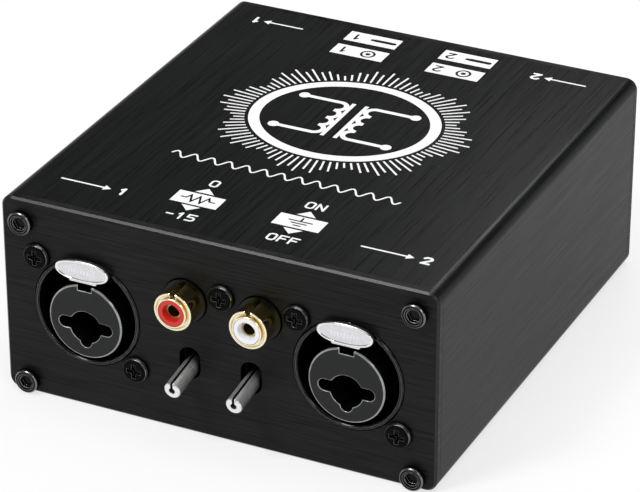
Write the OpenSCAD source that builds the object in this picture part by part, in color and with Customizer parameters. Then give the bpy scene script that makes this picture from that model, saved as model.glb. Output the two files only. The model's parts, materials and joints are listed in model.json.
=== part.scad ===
// Passive stereo ground loop isolator in an extruded aluminium case, in millimetres.
// The origin is on the underside at the middle of the case. The front panel faces -Y, +X is right, +Z is up.
// Every connector is drawn about a point of its own on the outer face of its panel, facing -Y.

/* [Case] */
// Width of the case
case_w = 97; // [96:0.5:104]
// Height of the case
case_h = 44.9; // [44:0.1:50]
// Length over the outer faces of the two panels
case_l = 106; // [104:1:140]
// Wall of the extruded sleeve
sleeve_wall = 2; // [1.6:0.1:2.2]
// Corner radius of the sleeve and of the panels
corner_r = 2.5; // [2:0.1:3]
// Thickness of each panel
panel_t = 2; // [1.6:0.1:2.5]
// Bright chamfer round the outer edge of each panel
panel_chamfer = 0.5; // [0.2:0.1:0.8]

/* [Case screws] */
// Distance of each case screw from the side of the case
case_screw_side = 4.8; // [4.6:0.1:5.2]
// Distance of the upper case screws from the top
case_screw_top = 5.1; // [4.6:0.1:5.4]
// Distance of the lower case screws from the underside
case_screw_low = 2.8; // [2.8:0.1:3.4]
// Head diameter of the case screws
case_screw_head_d = 5.2; // [4.8:0.1:5.4]
// Head height of the case screws
case_screw_head_h = 1.6; // [1.4:0.1:3]
// Width across the flats of the hexagon socket
case_screw_socket_af = 2.6; // [2:0.1:2.8]
// Shank diameter at the bottom of the thread
case_screw_shank_d = 2.4; // [2.2:0.1:2.6]
// Length of the case screws under the head
case_screw_l = 12; // [8:1:16]

/* [Circuit board] */
// Height of the board's underside above the bottom of the case
board_z = 8.2; // [8:0.1:8.4]
// Thickness of the board
board_t = 1.6; // [1.2:0.1:1.7]
// Depth of the board slots in the side walls
board_slot = 2.5; // [2:0.1:2.8]
// Length of the solder pins below the board
pin_below = 1.6; // [1:0.1:2.4]

/* [Combination inputs] */
// Distance of the middle of each three-pole socket from the side of the case
socket_side = 19.2; // [18.8:0.1:19.3]
// Height of the three-pole sockets above the underside
socket_z = 22.2; // [22.1:0.1:23]
// Diameter of the well inside the combination input
well_d = 22.2; // [21.8:0.1:22.4]
// Wall of the socket barrel and width of its rim
barrel_wall = 0.9; // [0.8:0.1:1]
// Depth of that well
well_depth = 16; // [12:0.5:18]
// Depth of the combination input behind the outer face of the panel
combo_depth = 30; // [28:0.5:32]
// How far the rim stands out of the panel
rim_proud = 0.4; // [0.2:0.1:0.6]
// How much smaller the insert is than the well
insert_play = 5.4; // [5:0.1:5.6]
// Gap between the insert and the lowest point of the well
insert_floor = 0.9; // [0.8:0.1:1.1]
// How far the insert stands out of the panel
insert_proud = 0.9; // [0.5:0.1:1.1]
// Diameter of the plug hole in the insert
plug_hole_d = 7.2; // [6.8:0.1:7.6]
// How far the plug hole sits below the middle of the insert
plug_hole_drop = 1.35; // [1.2:0.05:1.5]
// Diameter of the three pin lobes
lobe_d = 2.6; // [2.4:0.1:2.8]
// Distance of the side lobes from the middle
lobe_x = 4.85; // [4.6:0.05:5]
// Width of the key notch at the top of the insert
notch_w = 3.1; // [2.6:0.1:3.4]
// Depth of the key notch
notch_h = 1.4; // [1:0.1:1.6]

/* [Latches] */
// Width of the oval latch button
latch_w = 12.2; // [11.6:0.1:12.8]
// Height of the oval latch button
latch_h = 4.8; // [4.4:0.1:5]
// Thickness of the latch button
latch_t = 0.75; // [0.6:0.05:0.9]
// Travel of the latch when it is pressed
latch_travel = 0.9; // [0.6:0.1:1]
// Width of the latch tongue
tongue_w = 6.2; // [5.6:0.1:6.6]
// Thickness of the latch tongue
tongue_t = 1.5; // [1.2:0.1:1.6]

/* [Flange screws] */
// Direction of the flange screws from the socket's middle, up from the horizontal
flange_screw_turn = 43.4; // [42:0.2:45]
// Gap between the rim and the head of each flange screw
flange_screw_gap = 0.4; // [0.3:0.1:0.5]
// Head diameter of the flange screws
flange_screw_head_d = 5.8; // [5.4:0.1:6]
// Head height of the flange screws
flange_screw_head_h = 1.4; // [1.2:0.1:2]
// Shank diameter of the flange screws
flange_screw_shank_d = 2.8; // [2.4:0.1:2.9]
// Length of the flange screws under the head
flange_screw_l = 6; // [5:0.5:8]

/* [Phono sockets] */
// Sideways place of the middle of the front pair
front_phono_x = 1.7; // [1:0.1:2]
// Height of both pairs above the underside
phono_z = 30.55; // [30.2:0.05:31.5]
// Distance between the two sockets of a pair
phono_pitch = 16.7; // [16.2:0.1:17]
// Outer diameter of the gold shell
phono_shell_d = 8.3; // [8:0.1:8.6]
// How far the shells stand out of the panel
phono_proud = 5.6; // [5:0.1:9]
// How far the coloured insulator and its lip stand out of the shell
phono_lip_proud = 0.6; // [0.2:0.1:0.8]
// Diameter of the coloured insulator
phono_insulator_d = 5.8; // [5.6:0.1:6]
// Diameter of the hole in the insulator
phono_hole_d = 3.3; // [3:0.1:3.6]
// Width of the open seam along the shell
phono_seam = 1.2; // [0.8:0.1:1.4]
// Sideways place of the screw from the middle of the pair
phono_screw_x = -0.2; // [-0.5:0.1:0.5]
// Height of the screw above the sockets
phono_screw_z = 2.6; // [2:0.1:3]

/* [Toggle switches] */
// Sideways place of the middle between the two switches
toggle_x = 1; // [0.6:0.1:1.2]
// Distance between the two switches
toggle_pitch = 13.8; // [13:0.1:14.2]
// Height of the switches above the underside
toggle_z = 16.2; // [16:0.1:16.6]
// Width of the oval slot in the panel
toggle_slot_w = 4.7; // [4.6:0.1:5.2]
// Height of the oval slot in the panel
toggle_slot_h = 7.2; // [7.1:0.1:7.6]
// Diameter of the lever
lever_d = 3.6; // [3:0.1:3.6]
// Diameter of the hole along the lever
lever_bore_d = 1.36; // [1:0.02:1.6]
// Width of the seam along the lever
lever_seam = 0.55; // [0.3:0.05:0.7]
// How far the lever stands out of the panel
lever_proud = 7.9; // [6:0.1:9]
// Depth of the lever's pivot behind the outer face of the panel
lever_pivot_depth = 8; // [7.5:0.1:8.5]
// Tilt of the lever, down at rest and up when thrown
lever_tilt = 8.5; // [6:0.5:9]

/* [Outputs on the rear panel] */
// Depth of the three-pole output behind the outer face of the panel
xlr_depth = 20; // [18:0.5:24]
// Diameter of the well inside the three-pole output
xlr_well_d = 18.8; // [18:0.1:19.2]
// Diameter of the three output pins
xlr_pin_d = 2.4; // [2.2:0.1:2.6]
// Distance of each output pin from the middle
xlr_pin_r = 5; // [4.6:0.1:5.2]
// Sideways distance of each quarter-inch socket from the middle of the case
jack_x = 8.2; // [8:0.1:8.3]
// Height of the quarter-inch sockets above the underside
jack_z = 16.8; // [16.6:0.1:17.2]
// Bore of the quarter-inch sockets
jack_bore_d = 6.4; // [6.35:0.05:6.6]
// Diameter of the threaded bush
jack_bush_d = 9.4; // [9:0.1:9.6]
// Width across the flats of the nut
jack_nut_af = 12; // [11:0.1:12.4]
// Depth of the quarter-inch sockets behind the outer face of the panel
jack_depth = 24; // [20:0.5:26]

/* [Transformers] */
// Sideways distance of each transformer from the middle of the case
transformer_x = 24; // [20:0.5:26]
// Width of the laminated core
core_w = 26; // [24:0.5:28]
// Height of the laminated core
core_h = 22; // [20:0.5:26]
// Depth of the lamination stack
core_t = 12; // [10:0.5:14]
// Width of the middle limb of the core
core_limb = 8.4; // [8:0.1:9]
// Width of each winding window
core_window = 4.5; // [4.2:0.1:5]

/* [Print on the top] */
// Half width of the oval ring, over its outer edge
ring_rx = 20.8; // [19:0.1:22]
// Half depth of the oval ring, over its outer edge
ring_ry = 18.4; // [17:0.1:20]
// Width of the ring's line
ring_line = 2.4; // [1.6:0.1:3]
// Number of rays round the ring
ray_count = 96; // [60:12:120]
// Width of each ray
ray_w = 0.42; // [0.3:0.02:0.6]
// Length of the longest ray
ray_long = 7; // [5:0.1:8]
// Height of the small characters
label_h = 2.4; // [2:0.1:2.8]
// Width of the strokes of the small characters
label_line = 0.46; // [0.3:0.02:0.6]
// Thickness of the ink
ink_t = 0.04; // [0.02:0.01:0.1]

/* [Hidden] */
$fn = 64;
hull_fn = 32;
// Cuts run this far past the faces that they open
past = 1;
// Gaps between pieces that slip together, and between pieces that must stay apart
slip = 0.05;
gap = 0.2;
front_y = -case_l / 2;
board_top = board_z + board_t;
pin_end = board_z - pin_below;
pin_d = 0.7;
pin_hole_d = 1.1;
cavity_r = 1;
// Case screws and the bosses that they turn into
case_screw_x = case_w / 2 - case_screw_side;
boss_r = 2.8;
boss_web = 1.2;
case_screw_hole_d = case_screw_shank_d + 2 * slip;
panel_screw_hole_d = 3.2;
// The socket opens through a cone, wider than its corners
socket_corner_r = case_screw_socket_af / 2 / cos(30);
socket_cone_r = socket_corner_r + 0.35;
socket_cone_depth = 0.3;
case_socket_depth = case_screw_head_h - 0.5;
// Ribs that hold the board at the side walls
rib_t = 1.2;
rib_gap = 0.1;
board_w = case_w - 2 * sleeve_wall - 0.6;
board_end = panel_t + 3.5;
// Three-pole sockets
socket_x = case_w / 2 - socket_side;
barrel_d = well_d + 2 * barrel_wall;
barrel_hole_d = barrel_d + 2 * gap;
insert_d = well_d - insert_play;
insert_drop = insert_play / 2 - insert_floor;
flange_screw_r = barrel_d / 2 + flange_screw_gap + flange_screw_head_d / 2;
flange_screw_x = flange_screw_r * cos(flange_screw_turn);
flange_screw_z = flange_screw_r * sin(flange_screw_turn);
flange_margin = 2;
flange_w = 2 * (flange_screw_x + flange_margin);
flange_h = 2 * (flange_screw_z + flange_margin);
flange_t = 2.5;
flange_hole_d = flange_screw_shank_d + 2 * slip;
flange_panel_hole_d = flange_screw_shank_d + 0.5;
rim_chamfer = 0.25;
rim_cut_w = latch_w + 2 * gap + 0.4;
lobe_drop = 1;
low_lobe_drop = plug_hole_drop + plug_hole_d / 2 - 0.25;
// The tongue runs between the insert and the wall of the well
insert_top = insert_d / 2 - insert_drop;
tongue_z = insert_top + 0.8;
latch_z = tongue_z + 0.35 + latch_h / 2;
latch_face = 1.9;
latch_back = latch_face - latch_t;
tongue_end = 20;
spring_d = 2.6;
spring_wire = 0.35;
spring_turns = 6;
spring_l = 6;
spring_steps = 14;
contact_t = 0.3;
contact_w = 1.4;
contact_start = 10;
// Middle of each leaf, whose corners just clear the round wall of its lobe
leaf_mid = sqrt(pow(lobe_d / 2, 2) - pow(contact_w / 2, 2)) - slip - contact_t / 2;
leaf_x = lobe_x + leaf_mid;
leaf_low = insert_drop + low_lobe_drop + leaf_mid;
tail_y = combo_depth + 1.5;
// Phono sockets
phono_nose_d = 9.4;
phono_nose_proud = 0.5;
phono_hole_in_panel = phono_nose_d + 2 * gap;
phono_shell_wall = 0.5;
phono_lip_wall = 0.3;
// Depth of the groove between the shell's edge and the lip, outside the seam
phono_groove = 0.4;
phono_face = -phono_proud - phono_lip_proud;
// The shell is a little thinner behind the nose that it sits against
phono_step = 0.2;
// The hole in the insulator opens through a cone, in front of the sleeve that grips the plug
phono_cone = 0.35;
phono_cone_depth = 1.2;
phono_sleeve_start = 1.3;
phono_body_w = phono_pitch + 8.9;
phono_body_up = 6.4;
phono_body_down = 5.4;
phono_shell_in = 9;
phono_leg_t = 5;
front_leg_y = 15;
rear_leg_y = jack_depth + 1.5;
// Toggle switches
toggle_body_w = 8.4;
toggle_body_up = 5.2;
toggle_body_front = panel_t + 0.6;
toggle_body_back = 14;
toggle_cave_w = 4.6;
toggle_cave_h = 8;
toggle_cave_back = 11.4;
pivot_ball_r = 1.9;
pivot_pin_r = 0.9;
pivot_pin_l = 6.6;
toggle_terminal_pitch = 3.4;
// Quarter-inch sockets
jack_body_w = 2 * jack_x - 3.2;
jack_body_up = 6.8;
jack_bush_proud = 3;
jack_nut_t = 2.2;
// Transformers
transformer_y = 4;
core_yoke = core_limb / 2;
bobbin_wall = 0.8;
bobbin_flange_t = 1;
bobbin_reach = core_t / 2 + 4.6;
winding_h = core_h - 2 * core_yoke - 2 * bobbin_flange_t - 2 * gap;
transformer_pin_x = [-5, 5];
// Pad resistors
resistor_d = 2.3;
resistor_l = 6.3;
resistor_span = 10;
resistor_lift = 0.3;
resistor_lead_d = 0.6;
resistor_back = 28;
resistor_y = front_y + resistor_back;
resistor_pitch = 4;
// Print on the top, placed from the middle of the front edge or of the rear edge
ring_y = 60.2;
wave_y = 31.6;
wave_w = 52;
wave_h = 2.4;
arrow_x = 33.7;
arrow_y = 11.6;
arrow_l = 16;
switch_x = 11.4;
switch_y = 15.1;
switch_word = 7.6;
rear_arrow_x = 33.8;
rear_arrow_y = 8.4;
rear_arrow_l = 13;
plug_box_x = 11.4;
plug_box_y = 6.9;
ring_box_y = 14;

// Placement on the two panels
module at_front(x, z) { translate([x, front_y, z]) children(); }
module at_rear(x, z) { translate([x, -front_y, z]) rotate([0, 0, 180]) children(); }

// A round bar along Y
module rod(d, from_y, to_y) {
    translate([0, from_y, 0]) rotate([-90, 0, 0]) cylinder(d = d, h = to_y - from_y);
}

// A block given by its width and its limits along Y and Z
module block(w, from_y, to_y, from_z, to_z) {
    translate([-w / 2, from_y, from_z]) cube([w, to_y - from_y, to_z - from_z]);
}

// A flat outline drawn in X and Z, thickened along Y
module slab(from_y, to_y) {
    translate([0, to_y, 0]) rotate([90, 0, 0]) linear_extrude(to_y - from_y) children();
}

// A turned piece along Y, from an outline of [radius, y] points
module turned(outline) {
    rotate([-90, 0, 0]) rotate_extrude() polygon(outline);
}

module rounded_rect(w, h, r) {
    square([w - 2 * r, h], center = true);
    square([w, h - 2 * r], center = true);
    for (x = [-1, 1], y = [-1, 1]) translate([x * (w / 2 - r), y * (h / 2 - r)]) circle(r);
}

module case_outline(inset) {
    translate([0, case_h / 2]) rounded_rect(case_w - 2 * inset, case_h - 2 * inset, corner_r - inset);
}

module at_case_screws() {
    for (x = [-case_screw_x, case_screw_x], z = [case_screw_low, case_h - case_screw_top])
        translate([x, z]) children();
}

// Sleeve

module sleeve_boss() {
    circle(boss_r);
}

module sleeve_web(x_side, z_side) {
    web = case_screw_side - sleeve_wall / 2;
    foot = (z_side > 0 ? case_screw_top : case_screw_low) - sleeve_wall / 2;
    translate([x_side > 0 ? 0 : -web, z_side > 0 ? -boss_web : -foot]) square([web, foot + boss_web]);
}

module board_ribs() {
    for (side = [-1, 1])
        for (z = [board_z - rib_gap - rib_t, board_top + rib_gap])
            translate([side * (case_w / 2 - sleeve_wall / 2 - board_slot / 2), z + rib_t / 2])
                square([board_slot + sleeve_wall, rib_t], center = true);
}

module sleeve() {
    color("#2b2b2b") slab(front_y + panel_t, -front_y - panel_t) difference() {
        case_outline(0);
        difference() {
            translate([0, case_h / 2])
                rounded_rect(case_w - 2 * sleeve_wall, case_h - 2 * sleeve_wall, cavity_r);
            at_case_screws() sleeve_boss();
            for (x = [-1, 1], z = [-1, 1])
                translate([x * case_screw_x, z > 0 ? case_h - case_screw_top : case_screw_low])
                    sleeve_web(x, z);
            board_ribs();
        }
        at_case_screws() circle(d = case_screw_hole_d);
    }
}

// Panels and their screws

module panel_blank() {
    hull() {
        slab(panel_chamfer, panel_t) case_outline(0, $fn = hull_fn);
        slab(0, panel_t) case_outline(panel_chamfer, $fn = hull_fn);
    }
}

module socket_holes() {
    rod(barrel_hole_d, -past, panel_t + past);
    for (s = [-1, 1]) translate([s * flange_screw_x, 0, -s * flange_screw_z])
        rod(flange_panel_hole_d, -past, panel_t + past);
}

module phono_holes() {
    for (s = [-1, 1]) translate([s * phono_pitch / 2, 0, 0])
        rod(phono_hole_in_panel, -past, panel_t + past);
    translate([phono_screw_x, 0, phono_screw_z]) rod(flange_panel_hole_d, -past, panel_t + past);
}

module case_screw_holes() {
    slab(-past, panel_t + past) at_case_screws() circle(d = panel_screw_hole_d);
}

module toggle_slot() {
    straight = toggle_slot_h - toggle_slot_w;
    slab(-past, panel_t + past) {
        square([toggle_slot_w, straight], center = true);
        for (s = [-1, 1]) translate([0, s * straight / 2]) circle(d = toggle_slot_w);
    }
}

module front_panel() {
    color("#262725") difference() {
        at_front(0, 0) panel_blank();
        at_front(0, 0) case_screw_holes();
        for (s = [-1, 1]) at_front(s * socket_x, socket_z) socket_holes();
        at_front(front_phono_x, phono_z) phono_holes();
        for (s = [-1, 1]) at_front(toggle_x + s * toggle_pitch / 2, toggle_z) toggle_slot();
    }
}

module rear_panel() {
    color("#262725") difference() {
        at_rear(0, 0) panel_blank();
        at_rear(0, 0) case_screw_holes();
        for (s = [-1, 1]) at_rear(s * socket_x, socket_z) socket_holes();
        at_rear(0, phono_z) phono_holes();
        for (s = [-1, 1]) at_rear(s * jack_x, jack_z) rod(jack_bush_d + 2 * gap, -past, panel_t + past);
    }
}

module case_screw() {
    difference() {
        union() {
            turned([[0, -case_screw_head_h], [case_screw_head_d / 2 - rim_chamfer, -case_screw_head_h],
                [case_screw_head_d / 2, rim_chamfer - case_screw_head_h], [case_screw_head_d / 2, 0], [0, 0]]);
            rod(case_screw_shank_d, -past / 2, case_screw_l);
        }
        translate([0, -case_screw_head_h - past, 0]) rotate([-90, 0, 0])
            cylinder(r = socket_corner_r, h = case_socket_depth + past, $fn = 6);
        turned([[0, -case_screw_head_h - past], [socket_cone_r, -case_screw_head_h - past],
            [socket_cone_r, -case_screw_head_h], [socket_corner_r, socket_cone_depth - case_screw_head_h],
            [0, socket_cone_depth - case_screw_head_h]]);
    }
}

module case_screws() {
    for (x = [-case_screw_x, case_screw_x], z = [case_screw_low, case_h - case_screw_top])
        translate([x, 0, z]) case_screw();
}

module front_panel_screws() { color("#1a1a1a") at_front(0, 0) case_screws(); }

module rear_panel_screws() { color("#1a1a1a") at_rear(0, 0) case_screws(); }

// Pan head screws with a cross recess, which hold the connectors
module flange_screw() {
    r = flange_screw_head_d / 2;
    h = flange_screw_head_h;
    cross_w = 0.9;
    difference() {
        union() {
            turned([[0, -h], [r * 0.72, -h], [r * 0.9, -h * 0.8], [r, -h * 0.4], [r, 0], [0, 0]]);
            rod(flange_screw_shank_d, -h / 2, flange_screw_l);
        }
        block(r * 1.1, -h - past, -h * 0.35, -cross_w / 2, cross_w / 2);
        block(cross_w, -h - past, -h * 0.35, -r * 0.55, r * 0.55);
    }
}

module socket_screws() {
    for (s = [-1, 1]) translate([s * flange_screw_x, 0, -s * flange_screw_z]) flange_screw();
}

module front_connector_screws() {
    color("#1c1c1c") {
        for (s = [-1, 1]) at_front(s * socket_x, socket_z) socket_screws();
        at_front(front_phono_x + phono_screw_x, phono_z + phono_screw_z) flange_screw();
    }
}

module rear_connector_screws() {
    color("#1c1c1c") {
        for (s = [-1, 1]) at_rear(s * socket_x, socket_z) socket_screws();
        at_rear(-phono_screw_x, phono_z + phono_screw_z) flange_screw();
    }
}

// Combination input, made of a housing, an insert, a latch, a spring and contacts

module barrel(well, depth, back) {
    r = barrel_d / 2;
    w = well / 2;
    turned([[0, depth], [w, depth], [w, rim_chamfer - rim_proud], [w + rim_chamfer, -rim_proud],
        [r - rim_chamfer, -rim_proud], [r, rim_chamfer - rim_proud], [r, back], [0, back]]);
}

module flange() {
    difference() {
        block(flange_w, panel_t, panel_t + flange_t, -flange_h / 2, flange_h / 2);
        rod(barrel_d - 1, 0, combo_depth);
        for (s = [-1, 1]) translate([s * flange_screw_x, 0, -s * flange_screw_z])
            rod(flange_hole_d, 0, combo_depth);
    }
}

module tongue_space(grow) {
    block(tongue_w + 2 * grow, well_depth - past, tongue_end + latch_travel + grow,
        tongue_z - grow, tongue_z + tongue_t + grow);
}

// Contact leaves lie against the outer wall of each lobe
module contact_leaf(from_y, to_y, grow) {
    t = contact_t + 2 * grow;
    w = contact_w / 2 + grow;
    for (s = [-1, 1]) translate([s * leaf_x, 0, -insert_drop - lobe_drop]) block(t, from_y, to_y, -w, w);
    translate([0, 0, -leaf_low]) block(2 * w, from_y, to_y, -t / 2, t / 2);
}

module combo_housing(side) {
    color("#111111") at_front(side * socket_x, socket_z) difference() {
        union() {
            barrel(well_d, well_depth, combo_depth);
            flange();
        }
        block(rim_cut_w, -rim_proud - past, 0, tongue_z - gap, barrel_d / 2 + past);
        tongue_space(gap);
        translate([0, 0, tongue_z + tongue_t / 2])
            rod(spring_d + 2 * gap, tongue_end, tongue_end + spring_l);
        translate([0, 0, -insert_drop - plug_hole_drop]) rod(plug_hole_d, well_depth - past, combo_depth - 2);
        contact_leaf(well_depth - past, combo_depth + past, slip);
    }
}

module combo_insert(side) {
    r = insert_d / 2;
    color("#2a2a2a") at_front(side * socket_x, socket_z - insert_drop) difference() {
        turned([[0, -insert_proud], [r - rim_chamfer, -insert_proud], [r, rim_chamfer - insert_proud],
            [r, well_depth], [0, well_depth]]);
        translate([0, 0, -plug_hole_drop]) rod(plug_hole_d, -insert_proud - past, well_depth + past);
        for (s = [-1, 1]) translate([s * lobe_x, 0, -lobe_drop])
            rod(lobe_d, -insert_proud - past, well_depth + past);
        for (s = [-1, 1]) translate([s * lobe_x / 2, 0, -lobe_drop])
            block(lobe_x, -insert_proud - past, well_depth + past, -lobe_d / 2, lobe_d / 2);
        translate([0, 0, -low_lobe_drop]) rod(lobe_d, -insert_proud - past, well_depth + past);
        block(notch_w, -insert_proud - past, well_depth + past, r - notch_h, r + past);
    }
}

// Oval outline with slightly full ends
function oval(w, h) = [for (a = [0:7.5:352.5])
    [w / 2 * sign(cos(a)) * pow(abs(cos(a)), 0.9), h / 2 * sign(sin(a)) * pow(abs(sin(a)), 0.9)]];

module combo_latch(side) {
    color("#d9d9d9") at_front(side * socket_x, socket_z) {
        translate([0, 0, latch_z]) slab(-latch_face, -latch_back) polygon(oval(latch_w, latch_h));
        block(tongue_w, -latch_back - latch_t / 2, tongue_end, tongue_z, tongue_z + tongue_t);
    }
}

// Round wire wound into a helix along Y
function ring_points(y, turn) = [for (k = [0:5])
    let (a = k * 60, rr = spring_d / 2 - spring_wire / 2 + spring_wire / 2 * cos(a))
    [rr * cos(turn), y + spring_wire / 2 * sin(a), rr * sin(turn)]];

module combo_spring(side) {
    rings = spring_turns * spring_steps;
    pitch_run = spring_l - spring_wire;
    points = [for (i = [0:rings]) each ring_points(spring_wire / 2 + pitch_run * i / rings,
        360 * i / spring_steps)];
    walls = [for (i = [0:rings - 1], k = [0:5])
        [i * 6 + k, i * 6 + (k + 1) % 6, i * 6 + 6 + (k + 1) % 6, i * 6 + 6 + k]];
    color("#b0b0b0") at_front(side * socket_x, socket_z)
        translate([0, tongue_end, tongue_z + tongue_t / 2])
            polyhedron(points, concat(walls, [[5, 4, 3, 2, 1, 0], [for (k = [0:5]) rings * 6 + k]]));
}

// Places of the solder tails of one combination input, from its middle
combo_tails = [[-leaf_x, tail_y], [0, tail_y], [leaf_x, tail_y]];

module combo_contacts(side) {
    color("#c8a84b") at_front(side * socket_x, socket_z) {
        contact_leaf(contact_start, tail_y + pin_d / 2, 0);
        for (t = combo_tails)
            translate([t[0], t[1], pin_end - socket_z])
                cylinder(d = pin_d, h = socket_z - pin_end - (t[0] == 0 ? leaf_low : insert_drop + lobe_drop));
    }
}

// Phono pairs

module phono_housing(leg_y) {
    w = phono_body_w;
    back = leg_y + phono_leg_t;
    color("#161616") difference() {
        union() {
            block(w, panel_t, back, -phono_body_down, phono_body_up);
            block(w, leg_y, back, board_top - phono_z, 0);
            for (s = [-1, 1]) translate([s * phono_pitch / 2, 0, 0])
                rod(phono_nose_d, -phono_nose_proud, panel_t + past);
        }
        for (s = [-1, 1]) translate([s * phono_pitch / 2, 0, 0]) {
            rod(phono_shell_d - 2 * phono_step + 2 * slip, -phono_nose_proud - past, phono_shell_in);
            rod(pin_d + 2 * slip, phono_shell_in - past, leg_y + phono_leg_t / 2 + pin_d / 2);
            translate([0, leg_y + phono_leg_t / 2, board_top - phono_z - past])
                cylinder(d = pin_d + 2 * slip, h = phono_z - board_top + past);
        }
        translate([phono_screw_x, 0, phono_screw_z]) rod(flange_hole_d, 0, flange_screw_l + past);
    }
}

module phono_shell() {
    r = phono_shell_d / 2;
    inner = phono_insulator_d / 2 + slip;
    lip = inner + phono_lip_wall;
    color("#d4af37") difference() {
        union() {
            turned([[r - phono_shell_wall, -phono_proud + 0.1], [r - phono_shell_wall + 0.1, -phono_proud],
                [r - 0.1, -phono_proud], [r, -phono_proud + 0.1], [r, -phono_nose_proud],
                [r - phono_step, -phono_nose_proud], [r - phono_step, phono_shell_in],
                [r - phono_shell_wall, phono_shell_in]]);
            turned([[inner, phono_face], [lip - 0.1, phono_face], [lip, phono_face + 0.1],
                [lip, phono_groove - phono_proud], [r - phono_shell_wall / 2, phono_groove - phono_proud],
                [r - phono_shell_wall / 2, phono_shell_in], [inner, phono_shell_in]]);
        }
        block(phono_seam, -phono_proud - past, phono_shell_in - 3, lip, r + past);
    }
}

module phono_insulator(tint) {
    r = phono_insulator_d / 2;
    hole = phono_hole_d / 2;
    color(tint) turned([[hole + phono_cone, phono_face], [r - 0.1, phono_face], [r, phono_face + 0.1],
        [r, phono_shell_in], [pin_d / 2 + slip, phono_shell_in], [pin_d / 2 + slip, 3], [hole, 3],
        [hole, phono_face + phono_cone_depth]]);
}

// Sprung sleeve that grips the centre pin of the plug, with its solder tail
module phono_contact(leg_y) {
    outer = phono_hole_d / 2 - slip;
    mouth = phono_face + phono_sleeve_start;
    color("#c8a84b") {
        turned([[outer - 0.3, mouth], [outer, mouth], [outer, 3], [0, 3], [0, 2], [outer - 0.3, 2]]);
        rod(pin_d, 2, leg_y + phono_leg_t / 2 + pin_d / 2);
        translate([0, leg_y + phono_leg_t / 2, pin_end - phono_z]) cylinder(d = pin_d, h = phono_z - pin_end);
    }
}

module at_front_phono(side) { at_front(front_phono_x + side * phono_pitch / 2, phono_z) children(); }
module at_rear_phono(side) { at_rear(side * phono_pitch / 2, phono_z) children(); }

module rca_housing_front() { at_front(front_phono_x, phono_z) phono_housing(front_leg_y); }
module rca_housing_rear() { at_rear(0, phono_z) phono_housing(rear_leg_y); }
module rca_contacts_front() { for (s = [-1, 1]) at_front_phono(s) phono_contact(front_leg_y); }
module rca_contacts_rear() { for (s = [-1, 1]) at_rear_phono(s) phono_contact(rear_leg_y); }

// Toggle switches

module toggle_body(side) {
    front = toggle_body_front;
    color("#1d2a44") at_front(toggle_x + side * toggle_pitch / 2, toggle_z) difference() {
        block(toggle_body_w, front, toggle_body_back, board_top - toggle_z, toggle_body_up);
        block(toggle_cave_w, front - past, toggle_cave_back, -toggle_cave_h / 2, toggle_cave_h / 2);
        translate([-pivot_pin_l / 2 - gap, lever_pivot_depth, 0]) rotate([0, 90, 0])
            cylinder(r = pivot_pin_r + slip, h = pivot_pin_l + 2 * gap);
    }
}

// Lever rolled from sheet, with its seam on top, a ball at the pivot and a pin through the ball
module toggle_lever(side) {
    reach = (lever_proud + lever_pivot_depth) / cos(lever_tilt);
    color("#cfcfcf") at_front(toggle_x + side * toggle_pitch / 2, toggle_z)
        translate([0, lever_pivot_depth, 0]) rotate([lever_tilt, 0, 0]) {
            difference() {
                turned([[0, -reach], [lever_d / 2 - rim_chamfer, -reach], [lever_d / 2, rim_chamfer - reach],
                    [lever_d / 2, -pivot_ball_r / 2], [0, -pivot_ball_r / 2]]);
                rod(lever_bore_d, -reach - past, -pivot_ball_r - past);
                block(lever_seam, -reach - past, -pivot_ball_r - past, 0, lever_d);
            }
            sphere(pivot_ball_r);
            translate([-pivot_pin_l / 2, 0, 0]) rotate([0, 90, 0]) cylinder(r = pivot_pin_r, h = pivot_pin_l);
            rod(2 * pivot_pin_r, 0, pivot_ball_r + 0.6);
        }
}

toggle_pins = [for (s = [-1, 1], k = [-1, 0, 1]) [toggle_x + s * toggle_pitch / 2,
    front_y + lever_pivot_depth + k * toggle_terminal_pitch]];

module board_pin(p, d) {
    translate([p[0], p[1], pin_end]) cylinder(d = d, h = board_top - pin_end);
}

module toggle_terminals() { color("#c9c9c9") for (p = toggle_pins) board_pin(p, pin_d); }

// Transformers

module transformer_core(side) {
    color("#5a5f66") translate([side * transformer_x, transformer_y, board_top]) difference() {
        block(core_w, -core_t / 2, core_t / 2, 0, core_h);
        for (s = [-1, 1]) translate([s * (core_limb + core_window) / 2, 0, 0])
            block(core_window, -core_t, core_t, core_yoke, core_h - core_yoke);
    }
}

module transformer_bobbin(side) {
    limb_w = core_limb + 2 * gap;
    tube_w = limb_w + 2 * bobbin_wall;
    flange_half = core_limb / 2 + core_window - gap;
    low = core_yoke + gap;
    high = core_h - core_yoke - gap;
    color("#e8e2cf") translate([side * transformer_x, transformer_y, board_top]) difference() {
        union() {
            block(tube_w, -core_t / 2 - gap - bobbin_wall, core_t / 2 + gap + bobbin_wall, low, high);
            for (z = [low, high - bobbin_flange_t])
                block(2 * flange_half, -bobbin_reach, bobbin_reach, z, z + bobbin_flange_t);
        }
        block(limb_w, -core_t / 2 - gap, core_t / 2 + gap, 0, core_h);
    }
}

module transformer_winding(side) {
    tube_w = core_limb + 2 * gap + 2 * bobbin_wall;
    tube_y = core_t / 2 + gap + bobbin_wall;
    low = core_yoke + gap + bobbin_flange_t;
    outer = core_limb + 2 * core_window - 4 * gap;
    color("#b5651d") translate([side * transformer_x, transformer_y, board_top]) difference() {
        block(outer, -bobbin_reach + 2 * gap, bobbin_reach - 2 * gap, low, low + winding_h);
        block(tube_w, -tube_y, tube_y, 0, core_h);
    }
}

transformer_pin_places = [for (s = [-1, 1], x = transformer_pin_x, y = [-1, 1])
    [s * transformer_x + x, transformer_y + y * (bobbin_reach - 1)]];

module transformer_pins() {
    color("#c9c9c9") for (p = transformer_pin_places)
        translate([p[0], p[1], pin_end]) cylinder(d = pin_d, h = board_top + core_yoke + gap - pin_end);
}

// Resistors of the level pad, standing on bent leads

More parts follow.
